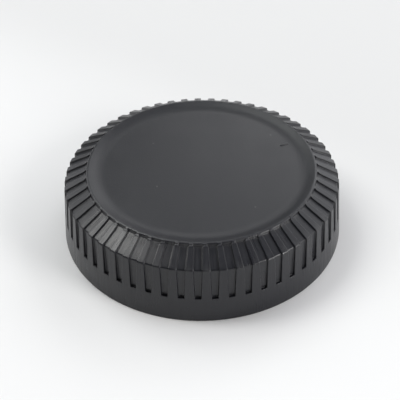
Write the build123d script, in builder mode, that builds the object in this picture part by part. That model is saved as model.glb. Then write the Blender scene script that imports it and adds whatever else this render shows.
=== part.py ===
from build123d import *
import os
from math import cos, radians, sin, tan

# Rear lens cap, one moulded piece, lying on its open rim with the closed face up.
# The origin is the centre of the open rim's plane and +Z points to the closed face.
# All lengths are millimetres and all angles are degrees.

# Outside
base_diameter = 52.0
cap_height = 13.3
skirt_draft = 4.8
bevel_slope = 27.6
bevel_width = 3.94
rim_edge_chamfer = 0.25
shoulder_chamfer = 0.2

# Closed face: a flat disc let in behind a narrow crest, which a narrow moat parts from the bevel
moat_width = 0.29
moat_floor_width = 0.13
moat_depth = 0.1
crest_width = 0.25
crest_rise = 0.24
crest_draft = 12.0
crest_chamfer = 0.08
disc_recess = 0.9
disc_wall_width = 1.6
disc_wall_round = 2.2

# Grip: blind grooves down bevel and skirt
groove_count = 56
groove_bevel_depth = 0.33
groove_foot_depth = 0.5
groove_floor_draft = 3.0
groove_foot_width = 1.05
groove_wall_draft = 2.0
groove_end_width = 1.36
groove_foot_height = 4.95
groove_end_step = 0.02
first_groove_angle = -2.0

# Inside
rim_width = 3.7
roof_thickness = 1.8
bore_corner_chamfer = 1.0
mouth_chamfer = 0.3

# Bayonet: three lugs inside the mouth, and a stop behind one of them
lug_count = 3
lug_reach = 1.6
lug_arc = 50.0
lug_start_angle = 20.0
lug_bottom = 0.45
lug_thickness = 1.3
lug_edge_chamfer = 0.25
lug_lead_length = 2.4
lug_lead_height = 0.6
stop_arc = 4.0
stop_height = 1.5
stop_inset = 0.4

# Index mark: a small raised bar on the closed face
mark_angle = 22.6
mark_inset = 2.1
mark_length = 1.7
mark_width = 0.5
mark_height = 0.12

# How far a cutter runs past what it cuts, and a lug into the wall that carries it
overrun = 0.6

# Heights and slopes that follow from these
slope_tangent = tan(radians(bevel_slope))
draft_tangent = tan(radians(skirt_draft))
moat_height = cap_height - crest_rise
skirt_height = moat_height - bevel_width * slope_tangent
disc_height = cap_height - disc_recess
bore_depth = disc_height - roof_thickness


def skirt_radius(height):
    """Radius of the conical skirt at a height above the rim."""
    return base_diameter / 2 - height * draft_tangent


def bevel_height(radius):
    """Height of the sloping bevel at a radius, on the line that starts at the skirt's top."""
    return skirt_height + (skirt_radius(skirt_height) - radius) * slope_tangent


def groove_half_width(height):
    """Half the width of a groove on the skirt, which widens upwards so that the mould lifts off."""
    return groove_foot_width / 2 + (height - groove_foot_height) * tan(radians(groove_wall_draft))


def corner(sketch, point):
    """The sketch's vertex that lies at a point of its own plane."""
    return sketch.vertices().sort_by_distance((*point, 0))[0]


def spoke_plane(angle):
    """The upright plane through the axis at an angle, with radius and height as its directions."""
    return Plane(
        origin=(0, 0, 0),
        x_dir=(cos(radians(angle)), sin(radians(angle)), 0),
        z_dir=(sin(radians(angle)), -cos(radians(angle)), 0),
    )


# Radii, from the base inwards
bore_radius = base_diameter / 2 - rim_width
lug_inner_radius = bore_radius - lug_reach
moat_outer_radius = skirt_radius(skirt_height) - bevel_width
crest_outer_radius = moat_outer_radius - moat_width
crest_inner_radius = crest_outer_radius - crest_width
disc_radius = crest_inner_radius - disc_wall_width
mark_radius = disc_radius - mark_inset

# The crest's outer wall leans out by its draft down to the moat's floor
moat_floor_height = moat_height - moat_depth
moat_inner_radius = crest_outer_radius + (cap_height - moat_floor_height) * tan(radians(crest_draft))

# Corners of the half section, each as radius and height
rim_corner = (base_diameter / 2, 0)
shoulder_corner = (skirt_radius(skirt_height), skirt_height)
disc_corner = (disc_radius, disc_height)
bore_corner = (bore_radius, bore_depth)
mouth_corner = (bore_radius, 0)
crest_inner_corner = (crest_inner_radius, cap_height)
crest_outer_corner = (crest_outer_radius, cap_height)

# From its foot up, the groove's floor leans in by its own draft, turns a little below the shoulder and goes
# on parallel to the bevel
floor_foot_radius = skirt_radius(groove_foot_height) - groove_foot_depth
floor_tangent = tan(radians(groove_floor_draft))
floor_drop = groove_bevel_depth / cos(radians(bevel_slope))
foot_to_bevel = bevel_height(floor_foot_radius) - floor_drop - groove_foot_height
turn_rise = foot_to_bevel / (1 - floor_tangent * slope_tangent)
turn_height = groove_foot_height + turn_rise
turn_radius = floor_foot_radius - turn_rise * floor_tangent
groove_end_radius = moat_inner_radius + groove_end_step
slot_top = cap_height + overrun
slot_bottom = groove_foot_height - overrun
slot_outer_radius = base_diameter / 2 + overrun


def bevel_half_width(radius):
    """Half the width of a groove on the bevel, from the skirt's width at the shoulder to the inner end's."""
    inward = (skirt_radius(skirt_height) - radius) / (skirt_radius(skirt_height) - groove_end_radius)
    return groove_half_width(skirt_height) + inward * (groove_end_width / 2 - groove_half_width(skirt_height))


# Groove cutter: a bar that has the floor's profile, kept only inside a slot that tapers down the skirt and a
# wedge that tapers up the bevel
with BuildPart() as groove:
    with BuildSketch(Plane.XZ):
        with BuildLine():
            Polyline(
                (floor_foot_radius, groove_foot_height),
                (turn_radius, turn_height),
                (groove_end_radius, bevel_height(groove_end_radius) - floor_drop),
                (groove_end_radius, slot_top),
                (slot_outer_radius, slot_top),
                (slot_outer_radius, groove_foot_height),
                close=True,
            )
        make_face()
    extrude(amount=groove_half_width(slot_top) + overrun, both=True)
    with BuildSketch(Plane.YZ):
        with BuildLine():
            Polyline(
                (-groove_half_width(slot_bottom), slot_bottom),
                (groove_half_width(slot_bottom), slot_bottom),
                (groove_half_width(slot_top), slot_top),
                (-groove_half_width(slot_top), slot_top),
                close=True,
            )
        make_face()
    extrude(amount=slot_outer_radius, mode=Mode.INTERSECT)
    with BuildSketch():
        with BuildLine():
            Polyline(
                (groove_end_radius, -bevel_half_width(groove_end_radius)),
                (groove_end_radius, bevel_half_width(groove_end_radius)),
                (slot_outer_radius, bevel_half_width(slot_outer_radius)),
                (slot_outer_radius, -bevel_half_width(slot_outer_radius)),
                close=True,
            )
        make_face()
    extrude(amount=slot_top, mode=Mode.INTERSECT)

# Bayonet lug: a short arc with a ramp on its inner side, where the lens's claw runs in
lug_top = lug_bottom + lug_thickness
with BuildPart() as lug:
    with BuildSketch(Plane.XZ) as lug_section:
        with BuildLine():
            Polyline(
                (lug_inner_radius, lug_bottom),
                (bore_radius + overrun, lug_bottom),
                (bore_radius + overrun, lug_top),
                (lug_inner_radius, lug_top),
                close=True,
            )
        make_face()
        chamfer(corner(lug_section, (lug_inner_radius, lug_bottom)), lug_edge_chamfer)
    revolve(axis=Axis.Z, revolution_arc=lug_arc)
    lead_edge = lug.edges().group_by(Axis.Z)[-1].sort_by(Axis.Y)[0]
    lug_back = lug.faces().sort_by(Axis.Z)[-1]
    chamfer(lead_edge, length=lug_lead_length, length2=lug_lead_height, reference=lug_back)

# Stop: a small block behind the far end of the first lug, which ends the lens's turn
with BuildPart() as stop:
    with BuildSketch(spoke_plane(lug_start_angle + lug_arc - stop_arc)):
        with BuildLine():
            Polyline(
                (lug_inner_radius + stop_inset, lug_top - lug_edge_chamfer),
                (bore_radius + overrun, lug_top - lug_edge_chamfer),
                (bore_radius + overrun, lug_top + stop_height),
                (lug_inner_radius + stop_inset, lug_top + stop_height),
                close=True,
            )
        make_face()
    revolve(axis=Axis.Z, revolution_arc=stop_arc)

with BuildPart() as cap:
    # Turned form: cup, skirt, bevel, moat, crest and disc
    with BuildSketch(Plane.XZ) as half_section:
        with BuildLine():
            Polyline(
                mouth_corner,
                rim_corner,
                shoulder_corner,
                (moat_outer_radius, moat_height),
                (moat_inner_radius + moat_floor_width, moat_floor_height),
                (moat_inner_radius, moat_floor_height),
                crest_outer_corner,
                crest_inner_corner,
                disc_corner,
                (0, disc_height),
                (0, bore_depth),
                bore_corner,
                close=True,
            )
        make_face()
        chamfer(corner(half_section, shoulder_corner), shoulder_chamfer)
        fillet(corner(half_section, disc_corner), disc_wall_round)
        chamfer(corner(half_section, rim_corner), rim_edge_chamfer)
        chamfer(corner(half_section, crest_outer_corner), crest_chamfer)
        chamfer(corner(half_section, crest_inner_corner), crest_chamfer)
        chamfer(corner(half_section, bore_corner), bore_corner_chamfer)
        chamfer(corner(half_section, mouth_corner), mouth_chamfer)
    revolve(axis=Axis.Z)

    # Grip grooves, all round
    with PolarLocations(0, groove_count, start_angle=first_groove_angle):
        add(groove.part, mode=Mode.SUBTRACT)

    # Bayonet
    with PolarLocations(0, lug_count, start_angle=lug_start_angle):
        add(lug.part)
    add(stop.part)

    # Index mark
    with BuildSketch(Plane.XY.offset(disc_height)):
        with PolarLocations(mark_radius, 1, start_angle=mark_angle):
            SlotOverall(mark_length, mark_width)
    extrude(amount=mark_height)

cap.part.label = "cap"
os.makedirs("parts", exist_ok=True)
export_step(cap.part, "parts/cap.step")
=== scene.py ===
"""A rear lens cap: one black moulding that lies on its open rim, with a grooved grip and a recess.

The origin is the centre of the open rim's plane, +Z points to the closed face and -Y to the camera.
Lengths are millimetres and angles are degrees until a mesh is made, which takes metres.
"""

import bpy
import numpy as np
from mathutils import Matrix, Vector


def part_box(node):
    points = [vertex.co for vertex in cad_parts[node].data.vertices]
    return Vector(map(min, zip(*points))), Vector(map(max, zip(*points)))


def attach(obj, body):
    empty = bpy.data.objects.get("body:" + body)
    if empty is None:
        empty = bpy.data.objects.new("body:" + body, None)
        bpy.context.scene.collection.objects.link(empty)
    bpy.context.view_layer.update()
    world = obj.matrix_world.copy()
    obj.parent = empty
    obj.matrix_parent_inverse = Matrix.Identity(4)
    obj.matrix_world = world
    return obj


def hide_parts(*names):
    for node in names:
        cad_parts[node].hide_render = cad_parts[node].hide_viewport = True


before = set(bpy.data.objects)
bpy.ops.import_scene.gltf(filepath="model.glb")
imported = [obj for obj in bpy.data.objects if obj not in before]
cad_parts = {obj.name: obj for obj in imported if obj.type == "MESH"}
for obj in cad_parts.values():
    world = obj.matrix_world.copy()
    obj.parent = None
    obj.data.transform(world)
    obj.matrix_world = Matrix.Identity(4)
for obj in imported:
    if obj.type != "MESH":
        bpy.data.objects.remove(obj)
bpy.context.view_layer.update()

MM = 0.001

# Outside of the moulding
base_radius = 26.0
cap_height = round(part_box("cap")[1].z / MM, 3)
skirt_draft = 4.8
bevel_slope = 27.6
bevel_width = 3.94
moat_width = 0.29
moat_depth = 0.1
crest_width = 0.25
crest_rise = 0.24
crest_draft = 12.0
disc_recess = 0.9
disc_wall_width = 1.6

# Grip grooves
groove_count = 56
groove_bevel_depth = 0.33
groove_foot_depth = 0.5
groove_floor_draft = 3.0
groove_foot_width = 1.05
groove_wall_draft = 2.0
groove_end_width = 1.36
groove_foot_height = 4.95
groove_end_step = 0.02
first_groove_angle = -2.0

# Inside
rim_width = 3.7
roof_thickness = 1.8
bore_corner_round = 1.0
mouth_chamfer = 0.3
lug_count = 3
lug_reach = 1.6
lug_arc = 50.0
lug_start_angle = 20.0
lug_bottom = 0.45
lug_thickness = 1.3
lug_edge_chamfer = 0.25
lug_lead_arc = 6.2
lug_lead_height = 0.6
stop_arc = 4.0
stop_height = 1.5
stop_inset = 0.4

# Index mark
mark_angle = 22.6
mark_inset = 2.1
mark_length = 1.7
mark_width = 0.5
mark_height = 0.12

# Softness of the moulding's edges
rib_edge_round = 0.1
rib_plan_round = 0.2
groove_corner_round = 0.08
groove_wall_lean = 0.02
least_wall_height = 0.02
flat_shelf = 0.06
crest_round = 0.27
crest_lean = 0.05
shoulder_round = 0.24
soft_corner = 0.05
step_corner = 0.08

# The recess as it looks: a shallow dish whose wall starts a little further in
dish_depth = 0.5
dish_radius = 18.6

# A groove's inner end has a part of the full depth, which it reaches further out
end_depth_share = 0.85
end_depth_radius = 21.0
full_depth_radius = 22.2

# Rows of the surfaces that stand on a straight line, and the setback of those far from an edge
face_row_radius = 12.0
rib_row_radius = 22.3
bevel_row_radius = 23.2
skirt_row_height = 8.0
low_skirt_row_height = 2.4
bore_row_height = 3.6
roof_row_radius = 9.0
far_setback = 1.2

# How far past a limit a sample is taken to be beyond it
margin = 0.01

# Heights and radii that follow
slope_tangent = np.tan(np.radians(bevel_slope))
draft_tangent = np.tan(np.radians(skirt_draft))
moat_height = cap_height - crest_rise
skirt_height = moat_height - bevel_width * slope_tangent
disc_height = cap_height - disc_recess
bore_depth = disc_height - roof_thickness
bore_radius = base_radius - rim_width
lug_inner_radius = bore_radius - lug_reach
lug_top = lug_bottom + lug_thickness
stop_radius = lug_inner_radius + stop_inset
stop_top = lug_top + stop_height


def skirt_radius(height):
    """Radius of the conical skirt: the base's radius less the height times the draft's tangent."""
    return base_radius - height * draft_tangent


def bevel_height(radius):
    """Height of the bevel: the skirt's top plus the way in from there times the slope's tangent."""
    return skirt_height + (skirt_radius(skirt_height) - radius) * slope_tangent


moat_outer_radius = skirt_radius(skirt_height) - bevel_width
crest_outer_radius = moat_outer_radius - moat_width
crest_inner_radius = crest_outer_radius - crest_width
disc_radius = crest_inner_radius - disc_wall_width
mark_radius = disc_radius - mark_inset
moat_floor_height = moat_height - moat_depth
crest_foot = (cap_height - moat_floor_height) * np.tan(np.radians(crest_draft))
moat_inner_radius = crest_outer_radius + crest_foot
face_height = cap_height - dish_depth
groove_end_radius = moat_inner_radius + groove_end_step
floor_foot_radius = skirt_radius(groove_foot_height) - groove_foot_depth
floor_tangent = np.tan(np.radians(groove_floor_draft))
floor_drop = groove_bevel_depth / np.cos(np.radians(bevel_slope))
foot_to_bevel = bevel_height(floor_foot_radius) - floor_drop - groove_foot_height
turn_rise = foot_to_bevel / (1 - floor_tangent * slope_tangent)
turn_height = groove_foot_height + turn_rise


def smooth_step(value, low, high):
    """0 below low, 1 above high, and 3t^2 - 2t^3 between them."""
    t = np.clip((value - low) / (high - low), 0, 1)
    return t * t * (3 - 2 * t)


def eased_path(corners, steps):
    """A path of radius and height whose corners are rounded with parabolas.

    A corner is (radius, height, setback), and steps holds its number of samples. Its parabola
    starts one setback before the corner, ends one setback after it and has the corner as its middle
    control point: (1-u)^2 start + 2u(1-u) corner + u^2 end.
    """
    corners = np.asarray(corners, float)
    points = corners[:, :2]
    legs = np.diff(points, axis=0)
    legs /= np.linalg.norm(legs, axis=1)[:, None]
    before = np.vstack([legs[:1], legs])
    after = np.vstack([legs, legs[-1:]])
    rows = []
    for point, setback, way_in, way_out, count in zip(points, corners[:, 2], before, after, steps):
        u = np.linspace(0, 1, count)[:, None]
        start = point - way_in * setback
        end = point + way_out * setback
        rows.append((1 - u) ** 2 * start + 2 * u * (1 - u) * point + u**2 * end)
    return np.vstack(rows)


def outside_profiles():
    """Half sections over a rib and along a groove's floor, sample for sample, from disc to rim.

    They share the face and the rim. Between those a rib and a floor have as many corners each.
    """

    def on_rib(radius, setback):
        return radius, bevel_height(radius), setback

    def on_floor(radius, setback):
        share = np.interp(radius, [end_depth_radius, full_depth_radius], [end_depth_share, 1.0])
        return radius, bevel_height(radius) - floor_drop * share, setback

    def on_skirt(height, setback):
        return skirt_radius(height), height, setback

    def up_floor(height, setback):
        return floor_foot_radius - (height - groove_foot_height) * floor_tangent, height, setback

    face = [
        (face_row_radius, face_height, 1.0),
        (dish_radius, face_height, 1.1),
        (crest_inner_radius - crest_lean, cap_height, 0.07),
        (crest_outer_radius + crest_lean, cap_height, crest_round),
    ]
    rib = [
        (moat_outer_radius - 0.03, moat_height + 0.02, 0.03),
        (moat_outer_radius + 0.16, moat_height - 0.04, 0.06),
        on_rib(moat_outer_radius + 0.36, 0.06),
        on_rib(rib_row_radius, 0.1),
        on_rib(bevel_row_radius, 0.6),
        on_skirt(skirt_height, shoulder_round),
        on_skirt(skirt_row_height, far_setback),
        on_skirt(groove_foot_height + 0.25, 0.12),
        on_skirt(groove_foot_height - 0.2, 0.12),
    ]
    floor = [
        on_floor(21.05, 0.05),
        on_floor(21.25, 0.06),
        on_floor(21.5, 0.1),
        on_floor(full_depth_radius, 0.1),
        on_floor(bevel_row_radius, 0.4),
        up_floor(turn_height, shoulder_round),
        up_floor(skirt_row_height, far_setback),
        up_floor(groove_foot_height, 0.1),
        on_skirt(groove_foot_height, 0.08),
    ]
    rim = [
        on_skirt(low_skirt_row_height, far_setback),
        (base_radius, 0.0, 0.25),
        (base_radius - 0.9, 0.0, 0.2),
    ]
    # Samples of each corner: face, rib or floor, and rim
    steps = [2, 8, 4, 7] + [3, 4, 4, 2, 2, 7, 2, 4, 5] + [2, 6, 2]
    return eased_path(face + rib + rim, steps), eased_path(face + floor + rim, steps)


def pitch_columns():
    """Places across half a pitch, from the middle of a groove to the middle of a rib.

    A place is (parts of the groove's half width, parts of the rest, millimetres, 1 on the floor,
    millimetres up from there). The wall stands at the half width and leans out a little, with a
    quarter circle at each of its ends: r(1-sin a) across and r(1-cos a) up at the floor, r(1-cos a)
    across and r(1-sin a) down at the rib. A place one shelf beside each rounding keeps the shading
    of the flats flat.
    """
    corner = groove_corner_round
    edge = rib_edge_round
    lean = groove_wall_lean
    at_floor = np.radians([0, 90])
    at_rib = np.radians([0, 30, 60, 90])
    return np.array([
        (0.0, 0.0, 0.0, 1.0, 0.0),
        (1.0, 0.0, -corner - flat_shelf, 1.0, 0.0),
        *((1.0, 0.0, -corner * (1 - np.sin(a)), 1.0, corner * (1 - np.cos(a))) for a in at_floor),
        *((1.0, 0.0, lean + edge * (1 - np.cos(a)), 0.0, -edge * (1 - np.sin(a))) for a in at_rib),
        (1.0, 0.0, lean + edge + flat_shelf, 0.0, 0.0),
        (0.0, 1.0, 0.0, 0.0, 0.0),
    ])


def groove_half_widths(rib):
    """Half a groove's width beside each sample of a rib's profile.

    It grows up the skirt by the walls' draft and goes over to the end's width up the bevel. At the
    rib's inner end it widens by a quarter circle in plan, r(1 - sqrt(1 - (1-t)^2)), over 2r.
    """
    shoulder_radius = skirt_radius(skirt_height)
    rise = np.clip(rib[:, 1:], groove_foot_height, skirt_height) - groove_foot_height
    half_width = groove_foot_width / 2 + rise * np.tan(np.radians(groove_wall_draft))
    inward = np.clip((shoulder_radius - rib[:, :1]) / (shoulder_radius - groove_end_radius), 0, 1)
    half_width = half_width + inward * (groove_end_width / 2 - half_width)
    from_end = np.clip((rib[:, :1] - moat_outer_radius) / (2 * rib_plan_round), 0, 1)
    return half_width + rib_plan_round * (1 - np.sqrt(1 - (1 - from_end) ** 2))


def rubbing_and_highlight(rib, down, on_rib):
    """How far each row and column is worn bare, with a highlight painted at the crest's foot.

    It is 1 at the top of the ribs' rounded edges, less further down them and 1 along the ribs'
    shoulder, where they are worn, and a little more at the foot of the crest, which is a painted
    highlight on the crest's outer wall, the moat and the ribs' inner ends. Beside the shoulder and
    on the bevel it is whole up to the near distance and gone at the far one.
    """
    near, far = 0.05, 0.3
    foot_highlight = 1.4
    rounding = np.interp(down / rib_edge_round, [0, 0.02, 0.5, 1], [0, 1, 0.8, 0.2])
    shoulder = 1 - smooth_step(np.abs(rib[:, 1] - skirt_height), near, far)
    crest_side = smooth_step(rib[:, 0], crest_outer_radius, moat_inner_radius + 0.03)
    bevel_side = 1 - smooth_step(rib[:, 0], moat_outer_radius + near, moat_outer_radius + far)
    # Painted highlight: the crest's outer wall, the moat and the ribs' inner ends are made lighter
    foot = foot_highlight * (crest_side * bevel_side)
    ribs = np.maximum(rounding[None, :], shoulder[:, None] * on_rib[None, :])
    return np.maximum(ribs, foot[:, None])


def outside_surface():
    """The outside as a grid of rows along the profile and columns round the axis, with its worn
    edges and the highlight painted at the crest's foot.

    A point is the rib's profile plus its column's share of the way to the groove's profile, turned
    by its distance from the groove's middle over its radius. The share is the column's millimetres
    over the way's length. The pitch's second half mirrors the first, up to the next groove. A rib
    is flat across: its radius times the cosine of its flat part's half angle, over the cosine of
    the angle from its middle.
    """
    rib, floor = outside_profiles()
    half = pitch_columns()
    columns = np.vstack([half, half[-2:0:-1]])
    width_parts, rest_parts, across, from_floor, up = columns.T
    mirrored = np.arange(len(columns)) >= len(half)
    on_rib = from_floor == 0
    depth = np.linalg.norm(floor - rib, axis=1)[:, None]
    least_depth = groove_corner_round + rib_edge_round + least_wall_height
    share = from_floor - up / np.maximum(depth, least_depth)

    radius = rib[:, :1] + (floor[:, :1] - rib[:, :1]) * share
    height = rib[:, 1:] + (floor[:, 1:] - rib[:, 1:]) * share
    reference = np.maximum(radius, crest_outer_radius)
    half_pitch = reference * np.pi / groove_count
    distance = groove_half_widths(rib) * width_parts + half_pitch * rest_parts + across
    angle = np.where(mirrored, 2 * half_pitch - distance, distance) / reference

    grooved = (rib[:, 1] > groove_foot_height) & (rib[:, 0] > crest_outer_radius + margin)
    from_middle = np.abs(angle - np.pi / groove_count)
    # The last place of a rib's rounding
    flat_start = len(half) - 3
    flat_half = from_middle[:, flat_start:flat_start + 1]
    flat = np.cos(flat_half) / np.cos(np.minimum(from_middle, flat_half))
    radius = np.where(grooved[:, None] & on_rib[None, :], radius * flat, radius)
    # Worn rib edges and shoulder, plus the painted highlight at the crest's foot
    wear_and_highlight = rubbing_and_highlight(rib, -up, on_rib) * grooved[:, None]

    grooves = np.arange(groove_count) * 2 * np.pi / groove_count + np.radians(first_groove_angle)
    angle = (grooves[None, :, None] + angle[:, None, :]).reshape(len(rib), -1)
    radius = np.tile(radius, (1, groove_count))
    height = np.tile(height, (1, groove_count))
    points = np.stack([radius * np.cos(angle), radius * np.sin(angle), height], axis=-1)
    return points, np.tile(wear_and_highlight, (1, groove_count))


def inside_profiles():
    """Half sections through the plain bore, a lug and the stop, sample for sample, rim to roof."""
    mouth = [
        (bore_radius + 1.0, 0.0, 0.1),
        (bore_radius + mouth_chamfer, 0.0, soft_corner),
        (bore_radius, mouth_chamfer, soft_corner),
    ]
    roof = [
        (bore_radius, bore_depth, bore_corner_round),
        (roof_row_radius, bore_depth, 1.0),
    ]
    plain_heights = (0.5, 0.75, 0.95, 1.3, 1.6, 1.95, bore_row_height)
    plain = [(bore_radius, height, soft_corner) for height in plain_heights]
    lug_front = [
        (bore_radius, lug_bottom, 0.04),
        (lug_inner_radius + lug_edge_chamfer, lug_bottom, soft_corner),
        (lug_inner_radius, lug_bottom + lug_edge_chamfer, soft_corner),
    ]
    lug_back = [
        (lug_inner_radius, lug_top, step_corner),
        (stop_radius, lug_top, soft_corner),
        (bore_radius, lug_top, 0.1),
        (bore_radius, bore_row_height, soft_corner),
    ]
    stop_back = [
        (lug_inner_radius, lug_top, step_corner),
        (stop_radius, lug_top, step_corner),
        (stop_radius, stop_top, step_corner),
        (bore_radius, stop_top, 0.1),
    ]
    # Samples of each corner: mouth, middle and roof
    steps = [2, 2, 4] + [3, 3, 3, 4, 4, 4, 3] + [8, 2]
    middles = (plain, lug_front + lug_back, lug_front + stop_back)
    return [eased_path(mouth + middle + roof, steps) for middle in middles]


def inside_surface(columns):
    """The cup, its bayonet lugs and the stop, as a grid of rows from the rim to the roof.

    A column takes the bore's profile plus the lug's share of the way to the lug, plus the stop's
    share of the way on to the stop. The shares step smoothly from 0 to 1 at each end of a lug, and
    the ramp lowers the lug's back.
    """
    bore, lug, stop = inside_profiles()
    sector = 360 / lug_count
    per_sector = columns // lug_count
    before_lug = 10
    soft = 0.4
    stop_start = lug_arc - stop_arc

    # Columns of a sector and the degrees past the lug's start at which they stand
    knots = np.array([
        (0, -before_lug),
        (6, -soft),
        (12, soft),
        (26, lug_lead_arc),
        (50, stop_start - soft),
        (56, stop_start + soft),
        (62, lug_arc - soft),
        (68, lug_arc + soft),
        (per_sector, sector - before_lug),
    ])
    place = np.interp(np.arange(per_sector), knots[:, 0], knots[:, 1])
    lug_end = smooth_step(place, lug_arc - soft, lug_arc + soft)
    lug_share = smooth_step(place, -soft, soft) - lug_end
    stop_share = lug_share * smooth_step(place, stop_start - soft, stop_start + soft)
    stop_share = np.concatenate([stop_share, np.zeros(per_sector * (lug_count - 1))])
    lug_share = np.tile(lug_share, lug_count)
    lead = np.tile(1 - np.clip(place / lug_lead_arc, 0, 1), lug_count)

    points = bore[:, None, :] + (lug - bore)[:, None, :] * lug_share[None, :, None]
    points = points + (stop - lug)[:, None, :] * stop_share[None, :, None]
    up_lug = smooth_step(lug[:, 1], lug_bottom + lug_edge_chamfer, lug_top)
    behind = up_lug * (lug[:, 1] < lug_top + margin)
    points[:, :, 1] -= lug_lead_height * behind[:, None] * (lead * lug_share)[None, :]

    sectors = np.arange(lug_count) * sector
    angle = np.radians(lug_start_angle + (sectors[:, None] + place[None, :]).ravel())
    radius = points[:, :, 0]
    return np.stack([radius * np.cos(angle), radius * np.sin(angle), points[:, :, 1]], axis=-1)


def grid_faces(rows, columns, first):
    """Quads between neighbouring rows of a grid whose columns close into a ring.

    The grid's points are numbered from first.
    """
    index = first + np.arange(rows * columns).reshape(rows, columns)
    ahead = np.roll(index, -1, axis=1)
    return np.stack([index[:-1], index[1:], ahead[1:], ahead[:-1]], axis=-1).reshape(-1, 4)


def fan_faces(ring, pole):
    """Triangles from a pole to each edge of a ring, in the ring's own turning direction."""
    return np.stack([np.full(len(ring), pole), ring, np.roll(ring, -1)], axis=-1)


def strip_faces(fine, coarse):
    """Triangles between a fine ring and a coarse one with a whole number of times fewer points."""
    times = len(fine) // len(coarse)
    turn = times // 2
    late = np.arange(len(fine)) % times >= turn
    near = np.where(late, np.repeat(np.roll(coarse, -1), times), np.repeat(coarse, times))
    along = np.stack([fine, near, np.roll(fine, -1)], axis=-1)
    across = np.stack([fine[turn::times], coarse, np.roll(coarse, -1)], axis=-1)
    return np.vstack([along, across])


def make_piece(name, points, face_sets, material):
    """An object from points in millimetres and arrays of faces, shaded smooth by face areas."""
    mesh = bpy.data.meshes.new(name)
    faces = [face for face_set in face_sets for face in face_set.tolist()]
    mesh.from_pydata((points * MM).tolist(), [], faces)
    mesh.shade_smooth()
    mesh.materials.append(material)
    piece = bpy.data.objects.new(name, mesh)
    bpy.context.scene.collection.objects.link(piece)
    even = piece.modifiers.new("even_normals", "WEIGHTED_NORMAL")
    even.weight = 60
    return piece


def moulding(material):
    """The whole cap as one closed skin: outside, rim face and inside, with a pole in each face."""
    outside_per_inside = 4
    outside, wear_and_highlight = outside_surface()
    fine = outside.shape[1]
    coarse = fine // outside_per_inside
    inside = inside_surface(coarse)
    poles = np.array([[0.0, 0.0, face_height], [0.0, 0.0, bore_depth]])
    points = np.vstack([outside.reshape(-1, 3), inside.reshape(-1, 3), poles])
    inside_first = outside.shape[0] * fine
    outside_last = inside_first - fine + np.arange(fine)
    inside_last = inside_first + (inside.shape[0] - 1) * coarse + np.arange(coarse)
    start = inside[0, 0] / np.linalg.norm(inside[0, 0])
    nearest = int(np.argmax(outside[-1] @ start))
    piece = make_piece("lens_cap", points, [
        grid_faces(outside.shape[0], fine, 0),
        grid_faces(inside.shape[0], coarse, inside_first),
        fan_faces(np.arange(fine), len(points) - 2),
        strip_faces(np.roll(outside_last, -nearest), inside_first + np.arange(coarse)),
        fan_faces(inside_last, len(points) - 1)[:, ::-1],
    ], material)
    # How worn each point is, with the painted highlight at the crest's foot
    attribute = piece.data.attributes.new("wear_and_highlight", "FLOAT", "POINT")
    values = np.zeros(len(points), np.float32)
    values[:inside_first] = wear_and_highlight.ravel()
    attribute.data.foreach_set("value", values)
    return piece


def index_mark(material):
    """A small raised bar: a stadium outline that narrows row by row as its height grows.

    A row is (part of the half width, part of the height). The lowest row is under the disc's face.
    """
    turn = np.radians(np.arange(0, 360, 15))
    rows = np.array([(0.55, 1.0), (0.8, 0.85), (0.95, 0.5), (1.0, 0.0), (1.0, -0.6)])
    straight = np.sign(np.cos(turn)) * (mark_length - mark_width) / 2
    along = straight + rows[:, :1] * np.cos(turn) * mark_width / 2
    across = rows[:, :1] * np.sin(turn) * mark_width / 2
    height = np.repeat(face_height + rows[:, 1:] * mark_height, len(turn), axis=1)
    spin = np.radians(mark_angle)
    radial = mark_radius + along
    x = radial * np.cos(spin) - across * np.sin(spin)
    y = radial * np.sin(spin) + across * np.cos(spin)
    points = np.stack([x, y, height], axis=-1)
    poles = points[[0, -1]].mean(axis=1)
    ring = np.arange(len(turn))
    last = (len(rows) - 1) * len(turn)
    top_pole = last + len(turn)
    return make_piece("index_mark", np.vstack([points.reshape(-1, 3), poles]), [
        grid_faces(len(rows), len(turn), 0),
        fan_faces(ring, top_pole),
        fan_faces(last + ring, top_pole + 1)[:, ::-1],
    ], material)


class Value:
    """A shader socket that does arithmetic: an expression on values adds its Math nodes."""

    def __init__(self, paint, socket):
        self.paint = paint
        self.socket = socket

    def maths(self, operation, *values):
        return self.paint.node("ShaderNodeMath", {"operation": operation}, dict(enumerate(values)))

    def __add__(self, other):
        return self.maths("ADD", self, other)

    def __sub__(self, other):
        return self.maths("SUBTRACT", self, other)

    def __rsub__(self, other):
        return self.maths("SUBTRACT", other, self)

    def __mul__(self, other):
        return self.maths("MULTIPLY", self, other)


class Paint:
    """One material's node tree, with its Principled shader."""

    def __init__(self, name):
        self.material = bpy.data.materials.new(name)
        self.material.use_nodes = True
        self.tree = self.material.node_tree
        self.shader = self.tree.nodes["Principled BSDF"]

    def fill(self, node, inputs):
        """Gives a node's sockets their values or links."""
        for key, value in inputs.items():
            if isinstance(value, Value):
                self.tree.links.new(value.socket, node.inputs[key])
            else:
                node.inputs[key].default_value = value

    def node(self, kind, settings=None, inputs=None, output=0):
        """Adds a node with its settings, then its inputs. One output comes back as a value."""
        node = self.tree.nodes.new(kind)
        for key, value in (settings or {}).items():
            setattr(node, key, value)
        self.fill(node, inputs or {})
        return Value(self, node.outputs[output])

    def ramp(self, value, low, high, bottom=0.0, top=1.0):
        """A value's smooth step between two limits."""
        inputs = {
            "Value": value,
            "From Min": low,
            "From Max": high,
            "To Min": bottom,
            "To Max": top,
        }
        return self.node("ShaderNodeMapRange", {"interpolation_type": "SMOOTHSTEP"}, inputs)

    def noise(self, place, scale, detail=2.0):
        """Noise with features one over scale metres across."""
        inputs = {"Vector": place, "Scale": scale, "Detail": detail}
        return self.node("ShaderNodeTexNoise", {}, inputs)

    def mix(self, share, first, second):
        """A colour between two others, which are the node's inputs 6 and 7. It is output 2."""
        inputs = {"Factor": share, 6: first, 7: second}
        return self.node("ShaderNodeMix", {"data_type": "RGBA"}, inputs, 2)


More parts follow.
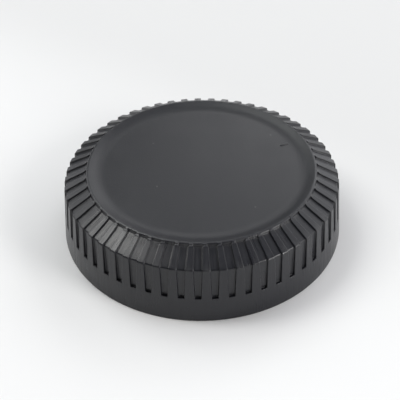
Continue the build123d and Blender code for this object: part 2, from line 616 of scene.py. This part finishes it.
def cap_plastic():
    """Black moulded plastic: fine grain, uneven gloss, streaked grip, worn edges, a painted
    highlight at the crest's foot and some dust.

    The face and the grip are told apart by their distance from the origin, in metres. The streaks
    are noise on the grip rolled out flat, squeezed to a small part along the other two directions.
    A speck of dust is a small disc in the middle of some cells of a flat Voronoi texture.
    """
    black = (0.0085, 0.009, 0.0125, 1.0)
    # A lighter black for the worn edges, also used as a painted highlight at the crest's foot
    rubbed_and_lit_black = (0.03, 0.03, 0.033, 1.0)
    dust_grey = (0.06, 0.06, 0.06, 1.0)
    smooth, rough = 0.31, 0.36
    face_edge = (0.021, 0.022)
    grip_edge = (0.0238, 0.0246)
    speck_edge = (0.006, 0.014)
    streak_squeeze = 0.06

    # Scales, each one over a feature's size in metres
    grain_scale = 5200.0
    streak_scale = 3600.0
    rubbed_and_lit_scale = 700.0
    patch_scale = 150.0
    dust_scale = 65.0

    paint = Paint("black_moulded_plastic")
    place = paint.node("ShaderNodeTexCoord", output="Object")
    x, y, z = (paint.node("ShaderNodeSeparateXYZ", {}, {"Vector": place}, axis) for axis in "XYZ")
    away = paint.node("ShaderNodeVectorMath", {"operation": "LENGTH"}, {0: place}, "Value")

    # Worn edges and the painted highlight at the crest's foot lighten the black in patches
    wear_and_highlight = paint.node("ShaderNodeAttribute", {"attribute_name": "wear_and_highlight"}, output="Fac")
    rubbed_and_lit = wear_and_highlight * paint.ramp(paint.noise(place, rubbed_and_lit_scale), 0.35, 0.7)
    cells = {"Vector": place, "Scale": dust_scale}
    from_cell_point = paint.node("ShaderNodeTexVoronoi", {"voronoi_dimensions": "2D"}, cells)
    on_face = 1.0 - paint.ramp(away, *face_edge)
    specks = (1.0 - paint.ramp(from_cell_point, *speck_edge)) * on_face
    colour = paint.mix(specks, paint.mix(rubbed_and_lit, black, rubbed_and_lit_black), dust_grey)

    turn = paint.node("ShaderNodeMath", {"operation": "ARCTAN2"}, {0: y, 1: x})
    rolled_out = paint.node("ShaderNodeCombineXYZ", {}, {
        "X": turn * base_radius * MM,
        "Y": z * streak_squeeze,
        "Z": away * streak_squeeze,
    })
    streaks = (paint.noise(rolled_out, streak_scale) - 0.5) * paint.ramp(away, *grip_edge)

    patches = paint.ramp(paint.noise(place, patch_scale, 3.0), 0.3, 0.7, smooth, rough)
    roughness = patches - rubbed_and_lit * 0.03 + streaks * 0.3
    relief = paint.noise(place, grain_scale) + streaks * 1.5
    depth = {"Strength": 0.3, "Distance": 0.00005, "Height": relief}
    bump = paint.node("ShaderNodeBump", {}, depth)
    paint.fill(paint.shader, {"Base Color": colour, "Roughness": roughness, "Normal": bump})
    return paint.material


def floor_paper():
    """Plain pale paper with painted shade that makes it greyer towards the back and the right."""
    near_grey = (0.82, 0.82, 0.82, 1.0)
    painted_shade_grey = (0.675, 0.675, 0.675, 1.0)
    back_right = (0.6, 0.8, 0.0)

    paint = Paint("pale_paper")
    place = paint.node("ShaderNodeTexCoord", output="Object")
    product = {"operation": "DOT_PRODUCT"}
    way_back = paint.node("ShaderNodeVectorMath", product, {0: place, 1: back_right}, "Value")
    # Painted shade: the paper's grey darkens towards the back and the right
    colour = paint.mix(paint.ramp(way_back, -0.01, 0.045), near_grey, painted_shade_grey)
    paint.fill(paint.shader, {"Base Color": colour, "Roughness": 0.9})
    return paint.material


def floor():
    """A pale table top under the cap, six metres wide."""
    half = 3.0
    corners = [(-half, -half, 0), (half, -half, 0), (half, half, 0), (-half, half, 0)]
    mesh = bpy.data.meshes.new("table_top")
    mesh.from_pydata(corners, [], [(0, 1, 2, 3)])
    mesh.materials.append(floor_paper())
    table = bpy.data.objects.new("table_top", mesh)
    bpy.context.scene.collection.objects.link(table)


def camera():
    """The photograph's camera, which looks down on the cap from the front.

    It stands a number of base radii from the origin at an elevation, looks at the origin and is
    then turned a little about its own axes, in radians, to bring the cap to its place in the frame.
    """
    elevation = np.radians(41.58)
    away = 6.7588 * base_radius * MM
    turns = (("Y", 0.0021), ("X", 0.0216), ("Z", -0.0154))
    data = bpy.data.cameras.new("camera")
    data.sensor_width = 36.0
    data.lens = 82.602
    data.clip_start = 0.01
    look = Matrix.Rotation(np.pi / 2 - elevation, 4, "X")
    for axis, angle in turns:
        look = look @ Matrix.Rotation(angle, 4, axis)
    place = Vector((0, -np.cos(elevation), np.sin(elevation))) * away
    eye = bpy.data.objects.new("camera", data)
    eye.matrix_world = Matrix.Translation(place) @ look
    bpy.context.scene.collection.objects.link(eye)
    bpy.context.scene.camera = eye


def lamp(name, azimuth, elevation, width, height, radiance, colour):
    """A soft lamp one metre from the cap that faces it, with its width level.

    The azimuth turns from +X towards +Y. The power is radiance x pi x area.
    """
    data = bpy.data.lights.new(name, "AREA")
    data.shape = "RECTANGLE"
    data.size = width
    data.size_y = height
    data.energy = radiance * np.pi * width * height
    data.color = colour
    turn = np.radians(azimuth)
    rise = np.radians(elevation)
    way = Vector((np.cos(rise) * np.cos(turn), np.cos(rise) * np.sin(turn), np.sin(rise)))
    light = bpy.data.objects.new(name, data)
    facing = way.to_track_quat("Z", "Y").to_matrix().to_4x4()
    light.matrix_world = Matrix.Translation(way) @ facing
    bpy.context.scene.collection.objects.link(light)


def lights():
    """A weak grey world and seven soft lamps.

    They are windows high on the left and behind, a long ceiling lamp, a lamp low at the front
    right, and pale walls on the left, on the right and behind. A row holds a lamp's azimuth,
    elevation, width, height, radiance and colour.
    """
    world_grey = (0.12, 0.12, 0.12, 1.0)
    lamps = {
        "window_left": (167, 53.7, 0.24, 0.52, 9.1, (1.0, 1.0, 0.98)),
        "window_behind": (121, 54, 0.42, 0.44, 3.4, (0.96, 1.0, 0.98)),
        "ceiling_lamp": (85, 80, 0.9, 0.26, 2.5, (0.92, 0.93, 1.0)),
        "lamp_front_right": (330, 22, 0.34, 0.64, 9.3, (1.0, 0.99, 0.98)),
        "wall_left": (143, 22, 0.7, 0.7, 1.2, (0.97, 0.98, 1.0)),
        "wall_right": (29, 27, 1.4, 0.96, 1.5, (0.97, 0.98, 1.0)),
        "wall_behind": (74, 33, 0.6, 0.32, 2.0, (0.98, 0.99, 1.0)),
    }
    world = bpy.data.worlds.new("studio")
    bpy.context.scene.world = world
    world.use_nodes = True
    world.node_tree.nodes["Background"].inputs["Color"].default_value = world_grey
    for name, row in lamps.items():
        lamp(name, *row)


plastic = cap_plastic()
for piece in (moulding(plastic), index_mark(plastic)):
    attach(piece, "root")
    if piece.name == "lens_cap":
        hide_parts("cap")
floor()
camera()
lights()
bpy.context.scene.view_settings.view_transform = "Standard"
